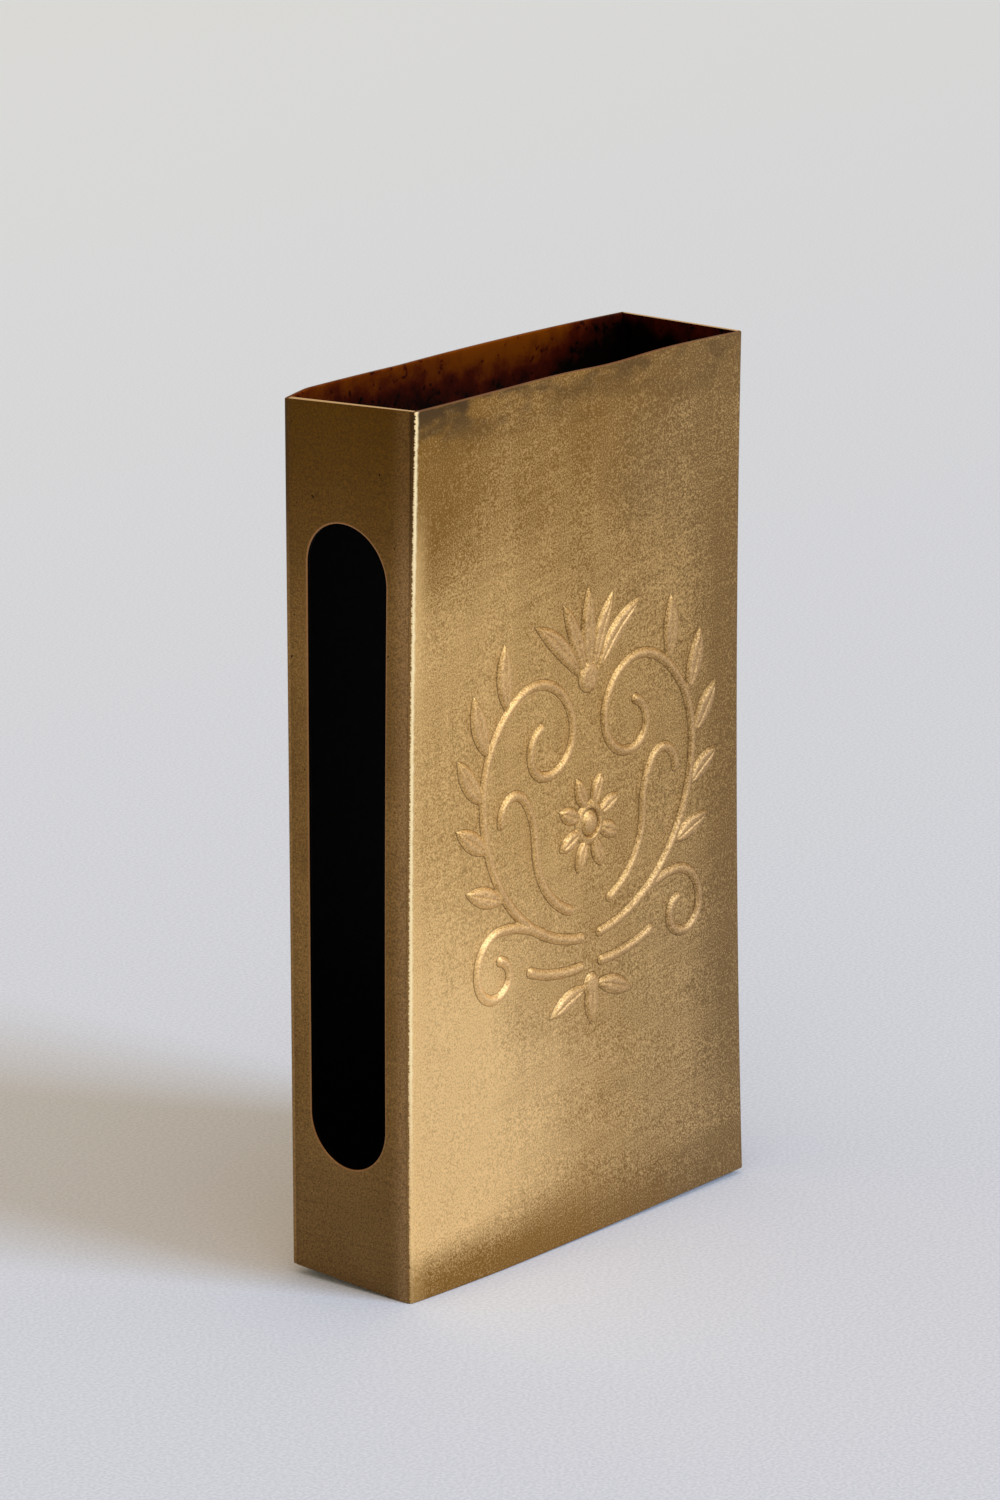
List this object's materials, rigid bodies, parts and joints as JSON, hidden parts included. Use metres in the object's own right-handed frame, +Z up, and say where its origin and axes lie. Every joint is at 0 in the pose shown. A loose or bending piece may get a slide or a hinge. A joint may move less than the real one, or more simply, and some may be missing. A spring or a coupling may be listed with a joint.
{
  "type": "matchbox holder",
  "caption": "Flat brass sleeve, open at both ends, that holds a household matchbox; side slots bare the strikers, scroll ornament in front.",
  "frame": {"origin": "centre of the lower rim's bounding rectangle, on the surface that the sleeve stands on", "axes": "+Z up along the sleeve, +X to the right across the broad faces seen from the front, and the ornamented front faces -Y"},
  "size_m": [0.067, 0.02, 0.112],
  "materials": {
    "brass_sheet": "brushed, tarnished",
    "brass_ornament": "brushed, worn bright on the crests",
    "solder": "dull hard solder"
  },
  "bodies": {
    "root": {"front_plate": "brass_sheet", "back_plate": "brass_sheet", "left_side_strip": "brass_sheet", "right_side_strip": "brass_sheet", "left_scroll": "brass_ornament", "right_scroll": "brass_ornament", "left_tendril": "brass_ornament", "right_tendril": "brass_ornament", "left_sprig": "brass_ornament", "right_sprig": "brass_ornament", "crown": "brass_ornament", "drop": "brass_ornament", "rosette": "brass_ornament", "rosette_boss": "brass_ornament", "solder_front_left": "solder", "solder_front_right": "solder", "solder_back_left": "solder", "solder_back_right": "solder"}
  },
  "joints": []
}
